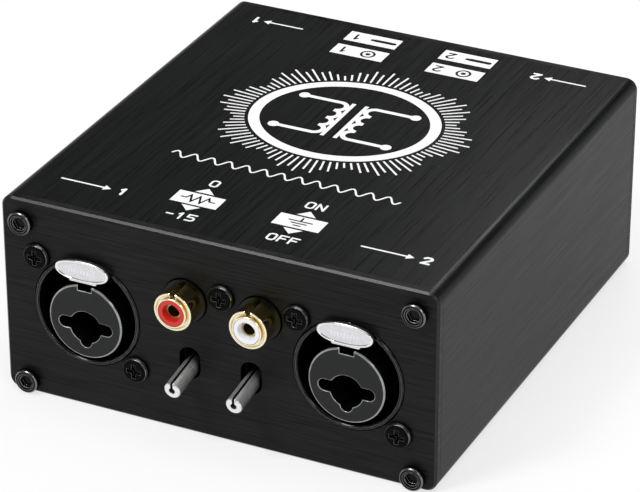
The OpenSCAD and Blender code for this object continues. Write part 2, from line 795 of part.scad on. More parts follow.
resistor_places = [for (s = [-1, 1], k = [0, 1]) [s * resistor_span * 0.6, resistor_y + k * resistor_pitch]];

module pad_resistor() {
    axis_z = board_top + resistor_lift + resistor_d / 2;
    translate([-resistor_l / 2, 0, axis_z]) rotate([0, 90, 0]) cylinder(d = resistor_d, h = resistor_l);
    translate([-resistor_span / 2, 0, axis_z]) rotate([0, 90, 0])
        cylinder(d = resistor_lead_d, h = resistor_span);
    for (s = [-1, 1]) translate([s * resistor_span / 2, 0, pin_end]) {
        cylinder(d = resistor_lead_d, h = axis_z - pin_end);
        translate([0, 0, axis_z - pin_end]) sphere(d = resistor_lead_d);
    }
}

module pad_resistors() {
    color("#6f9ac8") for (p = resistor_places) translate([p[0], p[1], 0]) pad_resistor();
}

// Three-pole outputs

xlr_pin_places = [[-xlr_pin_r, 0], [0, -xlr_pin_r], [xlr_pin_r, 0]];

module xlr_housing(side) {
    color("#111111") at_rear(side * socket_x, socket_z) difference() {
        union() {
            barrel(xlr_well_d, xlr_depth - 5, xlr_depth);
            flange();
        }
        for (p = xlr_pin_places) translate([p[0], 0, p[1]]) rod(xlr_pin_d + 2 * slip, 0, xlr_depth + past);
    }
}

xlr_tail_y = xlr_depth + 1.5;

module xlr_pins(side) {
    color("#d8d8d8") at_rear(side * socket_x, socket_z)
        for (p = xlr_pin_places) translate([p[0], 0, p[1]]) {
            turned([[0, panel_t], [xlr_pin_d / 2 - 0.5, panel_t], [xlr_pin_d / 2, panel_t + 1],
                [xlr_pin_d / 2, xlr_depth], [0, xlr_depth]]);
            rod(pin_d, xlr_depth - past, xlr_tail_y + pin_d / 2);
            translate([0, xlr_tail_y, pin_end - socket_z - p[1]])
                cylinder(d = pin_d, h = socket_z + p[1] - pin_end);
        }
}

// Quarter-inch outputs

module jack_body(side) {
    color("#181818") at_rear(side * jack_x, jack_z) difference() {
        union() {
            block(jack_body_w, panel_t, jack_depth, board_top - jack_z, jack_body_up);
            rod(jack_bush_d, -jack_bush_proud, panel_t + past);
        }
        rod(jack_bore_d, -jack_bush_proud - past, jack_depth - 2);
    }
}

module jack_nut(side) {
    color("#c0c0c0") at_rear(side * jack_x, jack_z) difference() {
        translate([0, -jack_nut_t, 0]) rotate([-90, 0, 0])
            cylinder(d = jack_nut_af / cos(30), h = jack_nut_t, $fn = 6);
        rod(jack_bush_d + 2 * slip, -jack_nut_t - past, past);
    }
}

jack_pins = [for (s = [-1, 1], k = [-1, 0, 1]) [s * jack_x, -front_y - jack_depth / 2 + k * jack_depth / 4]];

module jack_terminals() { color("#c9c9c9") for (p = jack_pins) board_pin(p, pin_d); }

// Circuit board, drilled for every solder pin

board_holes = concat(toggle_pins, transformer_pin_places, jack_pins,
    [for (s = [-1, 1], t = combo_tails) [s * socket_x + t[0], front_y + t[1]]],
    [for (s = [-1, 1]) [front_phono_x + s * phono_pitch / 2, front_y + front_leg_y + phono_leg_t / 2]],
    [for (s = [-1, 1]) [s * phono_pitch / 2, -front_y - rear_leg_y - phono_leg_t / 2]],
    [for (s = [-1, 1], p = xlr_pin_places) [s * socket_x - p[0], -front_y - xlr_tail_y]],
    [for (p = resistor_places, s = [-1, 1]) [p[0] + s * resistor_span / 2, p[1]]]);

module main_board() {
    color("#1f6b3a") difference() {
        block(board_w, front_y + board_end, -front_y - board_end, board_z, board_top);
        for (p = board_holes) translate([p[0], p[1], board_z - past])
            cylinder(d = pin_hole_d, h = board_t + 2 * past, $fn = 24);
    }
}

// Print on the top, one layer of white ink. Marks in the boxes are left open, so the black case shows.

module bar(from, to, w) {
    run = to - from;
    translate(from) rotate(atan2(run[1], run[0])) translate([0, -w / 2]) square([norm(run), w]);
}

module line_through(points, w) {
    for (i = [0:len(points) - 2]) bar(points[i], points[i + 1], w);
    for (p = points) translate(p) circle(d = w, $fn = 24);
}

// One band of even width along a zigzag or a wave, mitred at each point
function left_of(step) = [-step[1], step[0]] / norm(step);
function mitre(points, i) = let (
    last = len(points) - 1,
    a = left_of(points[max(i, 1)] - points[max(i, 1) - 1]),
    b = left_of(points[min(i + 1, last)] - points[min(i + 1, last) - 1]))
    (a + b) / (1 + a * b);

module ribbon(points, w) {
    last = len(points) - 1;
    polygon(concat([for (i = [0:last]) points[i] + w / 2 * mitre(points, i)],
        [for (i = [last:-1:0]) points[i] - w / 2 * mitre(points, i)]));
}

// Characters are strokes on a grid 4 wide and 6 high
function strokes(c) =
    c == "0" || c == "O" ? [[[0, 1], [1, 0], [3, 0], [4, 1], [4, 5], [3, 6], [1, 6], [0, 5], [0, 1]]] :
    c == "1" ? [[[0.8, 4.6], [2.2, 6], [2.2, 0]]] :
    c == "2" ? [[[0, 5], [1, 6], [3, 6], [4, 5], [4, 4], [0, 0], [4, 0]]] :
    c == "5" ? [[[4, 6], [0, 6], [0, 3.4], [3, 3.4], [4, 2.4], [4, 1], [3, 0], [0, 0]]] :
    c == "-" ? [[[0.4, 3], [3.6, 3]]] :
    c == "N" ? [[[0, 0], [0, 6], [4, 0], [4, 6]]] :
    c == "F" ? [[[0, 0], [0, 6], [4, 6]], [[0, 3.2], [3.2, 3.2]]] : [];

module label(word, h, w) {
    unit = h / 6;
    step = 6 * unit;
    translate([-(len(word) * step - 2 * unit) / 2, -h / 2])
        for (i = [0:len(word) - 1], s = strokes(word[i]))
            translate([i * step, 0]) line_through([for (p = s) p * unit], w);
}

function on_oval(rx, ry, a) = [rx * cos(a), ry * sin(a)];

// Rays repeat in groups of twelve, long at the ends of a group and short in its middle
function ray_length(i) = ray_long * (0.34 + 0.66 * abs(cos(i * 15)) * (i % 2 == 0 ? 1 : 0.62));

module ring_and_rays() {
    difference() {
        polygon([for (a = [0:3:357]) on_oval(ring_rx, ring_ry, a)]);
        polygon([for (a = [0:3:357]) on_oval(ring_rx - ring_line, ring_ry - ring_line * 0.95, a)]);
    }
    for (i = [0:ray_count - 1]) {
        a = 360 * i / ray_count;
        from = on_oval(ring_rx + 0.8, ring_ry + 0.8, a);
        bar(from, from + ray_length(i) * on_oval(1, ring_ry / ring_rx, a), ray_w);
    }
}

// Circuit symbol of an isolating transformer
module transformer_symbol() {
    coil_r = 1.9;
    line = 1.1;
    reach = 13;
    for (s = [-1, 1]) {
        translate([s * 1.5, 0]) square([line * 0.8, 8 * coil_r + line], center = true);
        translate([s * 4.3, 0]) {
            for (k = [-1.5:1:1.5]) translate([0, k * 2 * coil_r]) intersection() {
                difference() {
                    circle(coil_r + line / 2);
                    circle(coil_r - line / 2);
                }
                translate([s > 0 ? -past * 4 : 0, -past * 4]) square([past * 4, past * 8]);
            }
            for (k = [-1, 1]) translate([s * (reach - 4.3) / 2, k * 4 * coil_r])
                square([reach - 4.3 + line, line], center = true);
        }
        for (k = [-1, 1]) translate([s * reach, k * 4 * coil_r]) circle(line * 1.1);
    }
}

module wave_line(w, h, periods, line) {
    steps = periods * 12;
    crest = [for (i = [0:steps]) [w * (i / steps - 0.5), h / 2 * sin(360 * periods * i / steps)]];
    ribbon(crest, line);
}

module arrow_tip(h, w) { polygon([[-w / 2, 0], [w / 2, 0], [0, h]]); }

// Box with an arrow tip above and below it, beside a switch
module switch_box() {
    difference() {
        square([10.4, 4.8], center = true);
        children();
    }
    for (s = [0, 180]) rotate(s) translate([0, 3]) arrow_tip(2.1, 4.2);
}

// Zigzag for the level pad, and an earth sign for the ground switch
module pad_sign() {
    ribbon([[-3.9, 0], [-2.6, 0], [-2, 1.3], [-1, -1.3], [0, 1.3], [1, -1.3], [2, 1.3], [2.6, 0],
        [3.9, 0]], label_line);
}

module earth_sign() {
    line_through([[0, 1.9], [0, 0.5]], label_line);
    for (k = [0, 1, 2]) translate([0, 0.5 - 0.95 * k]) square([5.4 - 1.8 * k, label_line], center = true);
}

// Arrow along X with a number at its end
module numbered_arrow(number, w) {
    translate([-w * 0.14, 0]) {
        square([w * 0.62, label_line], center = true);
        translate([w * 0.31, 0]) rotate(-90) arrow_tip(1.6, 2);
    }
    translate([w * 0.44, 0]) label(number, label_h, label_line * 1.3);
}

// Boxes at the rear, with a plug or a ring and the number of the channel
module output_box(number) {
    difference() {
        square([12.4, 4.8], center = true);
        translate([-2, 0]) children();
        translate([4, 0]) label(number, label_h, label_line * 1.2);
    }
}

module plug_sign() {
    line_through([[-3, 0], [1.4, 0]], label_line * 2.6);
    translate([2.1, 0]) circle(label_line * 1.1);
}

module ring_sign() {
    difference() {
        circle(1.75);
        circle(1.2);
    }
    circle(0.6);
}

// The first channel is on the left, seen from the front
function side_of(channel) = channel == 1 ? -1 : 1;

module top_print() {
    color("#f2f2f2") translate([0, front_y, case_h]) linear_extrude(ink_t) {
        translate([0, ring_y]) {
            ring_and_rays();
            transformer_symbol();
        }
        translate([0, wave_y]) wave_line(wave_w, wave_h, 13, label_line * 0.9);
        for (n = [1, 2]) translate([arrow_x * side_of(n), arrow_y]) numbered_arrow(str(n), arrow_l);
        translate([-switch_x, switch_y]) {
            switch_box() pad_sign();
            translate([0, switch_word]) label("0", label_h, label_line);
            translate([0, -switch_word]) label("-15", label_h, label_line);
        }
        translate([switch_x, switch_y]) {
            switch_box() earth_sign();
            translate([0, switch_word]) label("ON", label_h, label_line);
            translate([0, -switch_word]) label("OFF", label_h, label_line);
        }
        translate([0, case_l]) rotate(180) for (n = [1, 2]) {
            translate([-rear_arrow_x * side_of(n), rear_arrow_y]) numbered_arrow(str(n), rear_arrow_l);
            translate([-plug_box_x * side_of(n), plug_box_y]) output_box(str(n)) plug_sign();
            translate([-plug_box_x * side_of(n), ring_box_y]) output_box(str(n)) ring_sign();
        }
    }
}

sleeve();
front_panel();
rear_panel();
front_panel_screws();
rear_panel_screws();
top_print();
main_board();
combo_housing(-1);  // combo_housing_left
combo_housing(1);  // combo_housing_right
combo_insert(-1);  // combo_insert_left
combo_insert(1);  // combo_insert_right
combo_latch(-1);  // combo_latch_left
combo_latch(1);  // combo_latch_right
combo_spring(-1);  // combo_spring_left
combo_spring(1);  // combo_spring_right
combo_contacts(-1);  // combo_contacts_left
combo_contacts(1);  // combo_contacts_right
front_connector_screws();
rca_housing_front();
at_front_phono(-1) phono_shell();  // rca_shell_front_left
at_front_phono(1) phono_shell();  // rca_shell_front_right
at_front_phono(-1) phono_insulator("#c81e14");  // rca_insulator_front_left
at_front_phono(1) phono_insulator("#f0f0f0");  // rca_insulator_front_right
rca_contacts_front();
toggle_body(-1);  // toggle_body_left
toggle_body(1);  // toggle_body_right
toggle_lever(-1);  // toggle_lever_left
toggle_lever(1);  // toggle_lever_right
toggle_terminals();
transformer_core(-1);  // transformer_core_left
transformer_core(1);  // transformer_core_right
transformer_bobbin(-1);  // transformer_bobbin_left
transformer_bobbin(1);  // transformer_bobbin_right
transformer_winding(-1);  // transformer_winding_left
transformer_winding(1);  // transformer_winding_right
transformer_pins();
pad_resistors();
xlr_housing(-1);  // xlr_housing_left
xlr_housing(1);  // xlr_housing_right
xlr_pins(-1);  // xlr_pins_left
xlr_pins(1);  // xlr_pins_right
rear_connector_screws();
jack_body(-1);  // jack_body_left
jack_body(1);  // jack_body_right
jack_nut(-1);  // jack_nut_left
jack_nut(1);  // jack_nut_right
jack_terminals();
rca_housing_rear();
at_rear_phono(-1) phono_shell();  // rca_shell_rear_left
at_rear_phono(1) phono_shell();  // rca_shell_rear_right
at_rear_phono(-1) phono_insulator("#c81e14");  // rca_insulator_rear_left
at_rear_phono(1) phono_insulator("#f0f0f0");  // rca_insulator_rear_right
rca_contacts_rear();
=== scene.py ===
import json
import math

import bmesh
import bpy
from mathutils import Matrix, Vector

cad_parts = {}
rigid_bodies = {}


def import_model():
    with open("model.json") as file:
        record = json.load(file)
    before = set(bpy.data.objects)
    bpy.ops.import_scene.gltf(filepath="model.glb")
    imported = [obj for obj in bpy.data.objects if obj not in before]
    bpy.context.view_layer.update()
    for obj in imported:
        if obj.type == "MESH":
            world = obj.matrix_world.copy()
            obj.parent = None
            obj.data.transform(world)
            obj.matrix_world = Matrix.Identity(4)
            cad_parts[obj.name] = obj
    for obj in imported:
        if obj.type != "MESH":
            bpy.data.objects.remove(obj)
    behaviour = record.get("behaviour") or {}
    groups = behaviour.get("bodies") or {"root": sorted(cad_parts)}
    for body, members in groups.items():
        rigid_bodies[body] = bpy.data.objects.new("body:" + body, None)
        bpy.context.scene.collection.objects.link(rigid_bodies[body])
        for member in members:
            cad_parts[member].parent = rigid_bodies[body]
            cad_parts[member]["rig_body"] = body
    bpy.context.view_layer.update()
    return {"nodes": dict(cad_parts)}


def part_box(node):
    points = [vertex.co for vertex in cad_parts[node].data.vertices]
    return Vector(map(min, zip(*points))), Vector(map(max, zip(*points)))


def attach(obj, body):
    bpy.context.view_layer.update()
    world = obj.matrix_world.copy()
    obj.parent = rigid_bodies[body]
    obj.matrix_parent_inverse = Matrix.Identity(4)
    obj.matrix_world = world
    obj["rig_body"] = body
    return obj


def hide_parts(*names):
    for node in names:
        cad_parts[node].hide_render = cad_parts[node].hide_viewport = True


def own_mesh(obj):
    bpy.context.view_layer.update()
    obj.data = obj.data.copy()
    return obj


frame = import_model()

# Camera
# The photograph looks down on the right front corner of the case through a long lens.
camera_place = (0.2759, -0.5796, 0.3664)
camera_azimuth = math.radians(25.64)
camera_elevation = math.radians(28.46)
camera_data = bpy.data.cameras.new("camera")
camera_data.sensor_width = 36
camera_data.lens = 193.2
camera = bpy.data.objects.new("camera", camera_data)
camera.location = camera_place
camera.rotation_euler = (math.pi / 2 - camera_elevation, 0, camera_azimuth)
bpy.context.scene.collection.objects.link(camera)
bpy.context.scene.camera = camera
bpy.context.scene.view_settings.view_transform = "Standard"


# Studio
# A white room with a pale floor and a dimmer ceiling. A small bright lamp at the front draws the highlights along
# the edges, a wide one above lights the print, and one behind the case draws the line along its rounded corner.
def linear(hex_code):
    """The linear colour of an sRGB code such as #8a8d8a."""
    channels = [int(hex_code[i : i + 2], 16) / 255 for i in (1, 3, 5)]
    return [c / 12.92 if c <= 0.04045 else ((c + 0.055) / 1.055) ** 2.4 for c in channels] + [1]


def add_node(tree, kind, inputs=None, **settings):
    """A new node with its settings. Each input takes a value or the socket that feeds it."""
    node = tree.nodes.new("ShaderNode" + kind)
    for name, value in settings.items():
        setattr(node, name, value)
    for name, value in (inputs or {}).items():
        if isinstance(value, bpy.types.NodeSocket):
            tree.links.new(value, node.inputs[name])
        else:
            node.inputs[name].default_value = value
    return node


def new_finish(name):
    """An empty material and its node tree."""
    material = bpy.data.materials.new(name)
    material.use_nodes = True
    material.node_tree.nodes.clear()
    return material, material.node_tree


def seen_directly(tree):
    """1 on rays from the camera or off a gloss or glass surface, and 0 on the rays that light the object."""
    rays = add_node(tree, "LightPath").outputs
    direct = add_node(tree, "Math", {0: rays["Is Camera Ray"], 1: rays["Is Glossy Ray"]}, operation="MAXIMUM")
    return add_node(tree, "Math", {0: direct.outputs[0], 1: rays["Is Transmission Ray"]},
        operation="MAXIMUM").outputs[0]


room = bpy.data.worlds.new("white_room")
room.use_nodes = True
tree = room.node_tree
tree.nodes.clear()
ambient = add_node(tree, "Background", {"Color": linear("#f4f6f8"), "Strength": 0.45})
upwards = add_node(tree, "SeparateXYZ", {"Vector": add_node(tree, "TexCoord").outputs["Generated"]}).outputs["Z"]
ceiling = add_node(tree, "MapRange", {0: upwards, 1: 0.08, 2: 0.35, 3: 1.0, 4: 0.06})
backdrop = add_node(tree, "Background", {"Color": linear("#ffffff"), "Strength": ceiling.outputs[0]})
shown = add_node(tree, "MixShader", {0: seen_directly(tree), 1: ambient.outputs[0], 2: backdrop.outputs[0]})
add_node(tree, "OutputWorld", {"Surface": shown.outputs[0]})
bpy.context.scene.world = room

floor_size = 6
floor_mesh = bpy.data.meshes.new("floor")
floor_corners = [(x * floor_size / 2, y * floor_size / 2, 0) for x, y in ((-1, -1), (1, -1), (1, 1), (-1, 1))]
floor_mesh.from_pydata(floor_corners, [], [range(4)])
floor = bpy.data.objects.new("floor", floor_mesh)
bpy.context.scene.collection.objects.link(floor)
floor_paint, tree = new_finish("pale_floor")
matt = add_node(tree, "BsdfDiffuse", {"Color": linear("#f2f2f2")})
reflected = add_node(tree, "LightPath").outputs["Is Glossy Ray"]
glow_level = add_node(tree, "MapRange", {0: reflected, 3: 1.0, 4: 0.92})
glow = add_node(tree, "Emission", {"Color": linear("#ffffff"), "Strength": glow_level.outputs[0]})
brighter = add_node(tree, "Math", {0: seen_directly(tree), 1: 0.72}, operation="MULTIPLY")
shown = add_node(tree, "MixShader", {0: brighter.outputs[0], 1: matt.outputs[0], 2: glow.outputs[0]})
add_node(tree, "OutputMaterial", {"Surface": shown.outputs[0]})
floor_mesh.materials.append(floor_paint)

case_middle = Vector((0, 0, 0.022))
lamps = {
    "lamp_front": ((-0.28, -0.5, 0.75), 0.22, 3.8),
    "lamp_above": ((0.1, 0.0, 1.0), 0.8, 3.2),
    "lamp_behind": ((0.0, 0.22, 0.24), 0.12, 0.2),
    "lamp_right": ((0.66, -0.6, 0.55), 0.25, 1.1),
}
for name, (place, size, watts) in lamps.items():
    lamp_data = bpy.data.lights.new(name, "AREA")
    lamp_data.shape = "DISK"
    lamp_data.size = size
    lamp_data.energy = watts
    lamp = bpy.data.objects.new(name, lamp_data)
    lamp.location = place
    lamp.rotation_euler = (case_middle - Vector(place)).to_track_quat("-Z", "Y").to_euler()
    lamp.visible_camera = False
    bpy.context.scene.collection.objects.link(lamp)


def softened(node, edge_radius, steps=2):
    """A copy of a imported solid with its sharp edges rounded, as on a real moulded or machined piece. The rounded
    strips take the piece's second finish, where it has one."""
    sharp_turn = math.radians(30)
    work = bmesh.new()
    work.from_mesh(frame["nodes"][node].data)
    bmesh.ops.remove_doubles(work, verts=work.verts, dist=1e-6)
    bmesh.ops.dissolve_limit(work, angle_limit=math.radians(0.5), verts=work.verts, edges=work.edges)
    sharp = [e for e in work.edges if len(e.link_faces) == 2 and e.calc_face_angle() > sharp_turn]
    bmesh.ops.bevel(work, geom=sharp, offset=edge_radius, offset_type="OFFSET", segments=steps, profile=0.5,
        affect="EDGES", clamp_overlap=True, material=1)
    mesh = bpy.data.meshes.new(node)
    work.to_mesh(mesh)
    work.free()
    if "custom_normal" in mesh.attributes:
        mesh.attributes.remove(mesh.attributes["custom_normal"])
    return mesh


def leaning(mesh, least, most, finish_index=1):
    """Gives one of the piece's other finishes to the faces that lean between two limits: 1 lies along the panels,
    and 0 stands square to them."""
    for face in mesh.polygons:
        if least <= abs(face.normal.y) < most:
            face.material_index = finish_index
    return mesh


def show(mesh, finish, node, edge_finish=None, deep_finish=None):
    """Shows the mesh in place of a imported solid, on the same body."""
    mesh.shade_smooth()
    mesh.set_sharp_from_angle(angle=math.radians(50))
    mesh.materials.append(finish)
    mesh.materials.append(edge_finish or finish)
    mesh.materials.append(deep_finish or finish)
    piece = bpy.data.objects.new(node + "_look", mesh)
    bpy.context.scene.collection.objects.link(piece)
    even = piece.modifiers.new("even_normals", "WEIGHTED_NORMAL")
    even.keep_sharp = True
    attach(piece, frame["nodes"][node]["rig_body"])
    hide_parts(node)
    return piece


sleeve_edge = 0.0003
extrusion_line = 0.0003
extrusion_run = 0.02
sleeve_finish, tree = new_finish("black_anodised_extrusion")
place = add_node(tree, "TexCoord").outputs["Object"]
along = add_node(tree, "Mapping", {"Vector": place,
    "Scale": (1 / extrusion_line, 1 / extrusion_run, 1 / extrusion_line)})
lines = add_node(tree, "TexNoise", {"Vector": along.outputs[0], "Scale": 1.0, "Detail": 3.0})
streaks = add_node(tree, "MapRange", {0: lines.outputs[0], 1: 0.3, 2: 0.7})
black = add_node(tree, "MixRGB", {0: streaks.outputs[0], 1: linear("#090a0a"), 2: linear("#171818")})
gloss = add_node(tree, "MapRange", {0: streaks.outputs[0], 3: 0.25, 4: 0.4})
relief = add_node(tree, "Bump", {"Strength": 0.45, "Distance": 0.00005, "Height": lines.outputs[0]})
skin = add_node(tree, "BsdfPrincipled", {"Base Color": black.outputs[0], "Roughness": gloss.outputs[0],
    "Normal": relief.outputs[0], "Specular IOR Level": 0.14})
dull = add_node(tree, "BsdfDiffuse", {"Color": linear("#101111")})
sealed = add_node(tree, "MixShader", {0: 0.14, 1: skin.outputs[0], 2: dull.outputs[0]})
add_node(tree, "OutputMaterial", {"Surface": sealed.outputs[0]})
show(softened("sleeve", sleeve_edge), sleeve_finish, "sleeve")


# Panels
# Two flat aluminium plates, brushed from side to side and anodised black. Their edge is chamfered after the
# anodising and coated clear, so a thin bright line runs round each plate.
panel_edge = 0.00008
brush_line = 0.0003
brush_run = 0.014
panel_finish, tree = new_finish("brushed_black_aluminium")
place = add_node(tree, "TexCoord").outputs["Object"]
along = add_node(tree, "Mapping", {"Vector": place, "Scale": (1 / brush_run, 1 / brush_run, 1 / brush_line)})
lines = add_node(tree, "TexNoise", {"Vector": along.outputs[0], "Scale": 1.0, "Detail": 4.0, "Roughness": 0.7})
streaks = add_node(tree, "MapRange", {0: lines.outputs[0], 1: 0.35, 2: 0.65})
black = add_node(tree, "MixRGB", {0: streaks.outputs[0], 1: linear("#050605"), 2: linear("#1d1e1d")})
gloss = add_node(tree, "MapRange", {0: streaks.outputs[0], 3: 0.26, 4: 0.5})
relief = add_node(tree, "Bump", {"Strength": 0.6, "Distance": 0.00006, "Height": lines.outputs[0]})
skin = add_node(tree, "BsdfPrincipled", {"Base Color": black.outputs[0], "Roughness": gloss.outputs[0],
    "Normal": relief.outputs[0], "Specular IOR Level": 0.13})
add_node(tree, "OutputMaterial", {"Surface": skin.outputs[0]})

chamfer_finish, tree = new_finish("bright_cut_aluminium")
place = add_node(tree, "TexCoord").outputs["Object"]
cutter_marks = add_node(tree, "TexNoise", {"Vector": place, "Scale": 1 / 0.0008, "Detail": 3.0})
grey = add_node(tree, "MixRGB", {0: cutter_marks.outputs[0], 1: linear("#2e2f2e"), 2: linear("#424342")})
gloss = add_node(tree, "MapRange", {0: cutter_marks.outputs[0], 3: 0.34, 4: 0.48})
skin = add_node(tree, "BsdfPrincipled", {"Base Color": grey.outputs[0], "Metallic": 1.0,
    "Roughness": gloss.outputs[0]})
add_node(tree, "OutputMaterial", {"Surface": skin.outputs[0]})

# Painted shade: the walls of the holes through the panels are coloured near black, as the shadow inside them.
hole_shade_finish, tree = new_finish("painted_shade_hole_wall")
place = add_node(tree, "TexCoord").outputs["Object"]
grain = add_node(tree, "TexNoise", {"Vector": place, "Scale": 1 / 0.0006, "Detail": 3.0})
black = add_node(tree, "MixRGB", {0: grain.outputs[0], 1: linear("#020202"), 2: linear("#060606")})
skin = add_node(tree, "BsdfPrincipled", {"Base Color": black.outputs[0], "Roughness": 0.6,
    "Specular IOR Level": 0.05})
add_node(tree, "OutputMaterial", {"Surface": skin.outputs[0]})

chamfer_depth = (0.00012, 0.00045)
plate_rim = 0.001
for node in ("front_panel", "rear_panel"):
    plate = softened(node, panel_edge)
    low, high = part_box(node)
    outer_face = low[1] if node == "front_panel" else high[1]
    for face in plate.polygons:
        depth = abs(face.center.y - outer_face)
        on_chamfer = chamfer_depth[0] < depth < chamfer_depth[1] and 0.3 < abs(face.normal.y) < 0.9
        in_hole = all(low[i] + plate_rim < face.center[i] < high[i] - plate_rim for i in (0, 2))
        if on_chamfer:
            face.material_index = 1
        else:
            # Walls inside the holes take the painted shade.
            face.material_index = 2 if in_hole and abs(face.normal.y) < 0.5 else 0
    show(plate, panel_finish, node, chamfer_finish, hole_shade_finish)


# Case screws
# Four steel socket head screws at each end, chemically blackened and oiled. The faces round each head that lean
# part way to the front carry a painted highlight in lighter metallic grey, which shows as thin bright rings.
screw_edge = 0.0001
screw_finish, tree = new_finish("blackened_steel")
place = add_node(tree, "TexCoord").outputs["Object"]
grain = add_node(tree, "TexNoise", {"Vector": place, "Scale": 1 / 0.0006, "Detail": 3.0})
gloss = add_node(tree, "MapRange", {0: grain.outputs[0], 3: 0.14, 4: 0.28})
black = add_node(tree, "MixRGB", {0: grain.outputs[0], 1: linear("#050505"), 2: linear("#0b0b0b")})
relief = add_node(tree, "Bump", {"Strength": 0.2, "Distance": 0.00003, "Height": grain.outputs[0]})
skin = add_node(tree, "BsdfPrincipled", {"Base Color": black.outputs[0], "Roughness": gloss.outputs[0],
    "Normal": relief.outputs[0], "Specular IOR Level": 0.12})
add_node(tree, "OutputMaterial", {"Surface": skin.outputs[0]})

# Painted highlight in lighter metallic grey, for the bright rings and crescents on the screw heads.
screw_highlight_finish, tree = new_finish("painted_highlight_steel_edge")
place = add_node(tree, "TexCoord").outputs["Object"]
grain = add_node(tree, "TexNoise", {"Vector": place, "Scale": 1 / 0.0009, "Detail": 3.0})
grey = add_node(tree, "MixRGB", {0: grain.outputs[0], 1: linear("#5a5a5a"), 2: linear("#8c8c8b")})
skin = add_node(tree, "BsdfPrincipled", {"Base Color": grey.outputs[0], "Metallic": 1.0, "Roughness": 0.28})
add_node(tree, "OutputMaterial", {"Surface": skin.outputs[0]})
for node in ("front_panel_screws", "rear_panel_screws"):
    show(leaning(softened(node, screw_edge), 0.6, 0.74), screw_finish, node, screw_highlight_finish)


# Print
# White screen ink in one layer on the top. It lies a little rough on the blasted metal.
ink_grain = 0.00025
ink_finish, tree = new_finish("white_screen_ink")
place = add_node(tree, "TexCoord").outputs["Object"]
grain = add_node(tree, "TexNoise", {"Vector": place, "Scale": 1 / ink_grain, "Detail": 2.0})
white = add_node(tree, "MixRGB", {0: grain.outputs[0], 1: linear("#e6e6e6"), 2: linear("#f4f4f4")})
relief = add_node(tree, "Bump", {"Strength": 0.2, "Distance": 0.00002, "Height": grain.outputs[0]})
skin = add_node(tree, "BsdfPrincipled", {"Base Color": white.outputs[0], "Roughness": 0.55,
    "Normal": relief.outputs[0]})
add_node(tree, "OutputMaterial", {"Surface": skin.outputs[0]})


def finish_in(finish, *nodes):
    """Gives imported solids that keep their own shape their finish."""
    for node in nodes:
        materials = frame["nodes"][node].data.materials
        materials.clear()
        materials.append(finish)


finish_in(ink_finish, "top_print")


# Combination inputs, housings
# Moulded in glass filled nylon, black and glossy on the rim, with a deep well that swallows the light. Its rounded
# edges carry a painted highlight, a lighter part metallic grey than its faces.
moulded_edge = 0.0001
rim_edge = 0.00016
nylon_finish, tree = new_finish("glossy_black_nylon")
place = add_node(tree, "TexCoord").outputs["Object"]
grain = add_node(tree, "TexNoise", {"Vector": place, "Scale": 1 / 0.0008, "Detail": 4.0})
gloss = add_node(tree, "MapRange", {0: grain.outputs[0], 3: 0.14, 4: 0.26})
black = add_node(tree, "MixRGB", {0: grain.outputs[0], 1: linear("#050505"), 2: linear("#0c0c0c")})
relief = add_node(tree, "Bump", {"Strength": 0.12, "Distance": 0.00003, "Height": grain.outputs[0]})
skin = add_node(tree, "BsdfPrincipled", {"Base Color": black.outputs[0], "Roughness": gloss.outputs[0],
    "Normal": relief.outputs[0], "Specular IOR Level": 0.25})
add_node(tree, "OutputMaterial", {"Surface": skin.outputs[0]})

# Painted highlight: a lighter, part metallic grey on the rounded edges of the mouldings, for the bright lines there.
edge_highlight_finish, tree = new_finish("painted_highlight_nylon_edge")
place = add_node(tree, "TexCoord").outputs["Object"]
grain = add_node(tree, "TexNoise", {"Vector": place, "Scale": 1 / 0.001, "Detail": 2.0})
gloss = add_node(tree, "MapRange", {0: grain.outputs[0], 3: 0.12, 4: 0.2})
grey = add_node(tree, "MixRGB", {0: grain.outputs[0], 1: linear("#858685"), 2: linear("#b4b5b4")})
skin = add_node(tree, "BsdfPrincipled", {"Base Color": grey.outputs[0], "Metallic": 0.6,
    "Roughness": gloss.outputs[0]})
add_node(tree, "OutputMaterial", {"Surface": skin.outputs[0]})
for side in ("left", "right"):
    for node in ("combo_housing_", "xlr_housing_"):
        show(softened(node + side, rim_edge), nylon_finish, node + side, edge_highlight_finish)


# Combination inputs, inserts
# The insert is moulded in a softer satin grey black, from a tool with a fine spark grain.
insert_edge = 0.00014
insert_finish, tree = new_finish("satin_black_nylon")
place = add_node(tree, "TexCoord").outputs["Object"]
grain = add_node(tree, "TexNoise", {"Vector": place, "Scale": 1 / 0.00025, "Detail": 2.0})
gloss = add_node(tree, "MapRange", {0: grain.outputs[0], 3: 0.36, 4: 0.5})
black = add_node(tree, "MixRGB", {0: grain.outputs[0], 1: linear("#191b1a"), 2: linear("#262827")})
relief = add_node(tree, "Bump", {"Strength": 0.25, "Distance": 0.00003, "Height": grain.outputs[0]})
skin = add_node(tree, "BsdfPrincipled", {"Base Color": black.outputs[0], "Roughness": gloss.outputs[0],
    "Normal": relief.outputs[0], "Specular IOR Level": 0.18})
add_node(tree, "OutputMaterial", {"Surface": skin.outputs[0]})
for side in ("left", "right"):
    insert = "combo_insert_" + side
    # The walls that stand square to the panel take the black nylon as painted shade, and the faces leaning part way
    # to the front and the rounded edges take the painted highlight.
    moulding = leaning(leaning(softened(insert, insert_edge), 0, 0.25, 2), 0.6, 0.74)
    show(moulding, insert_finish, insert, edge_highlight_finish, nylon_finish)


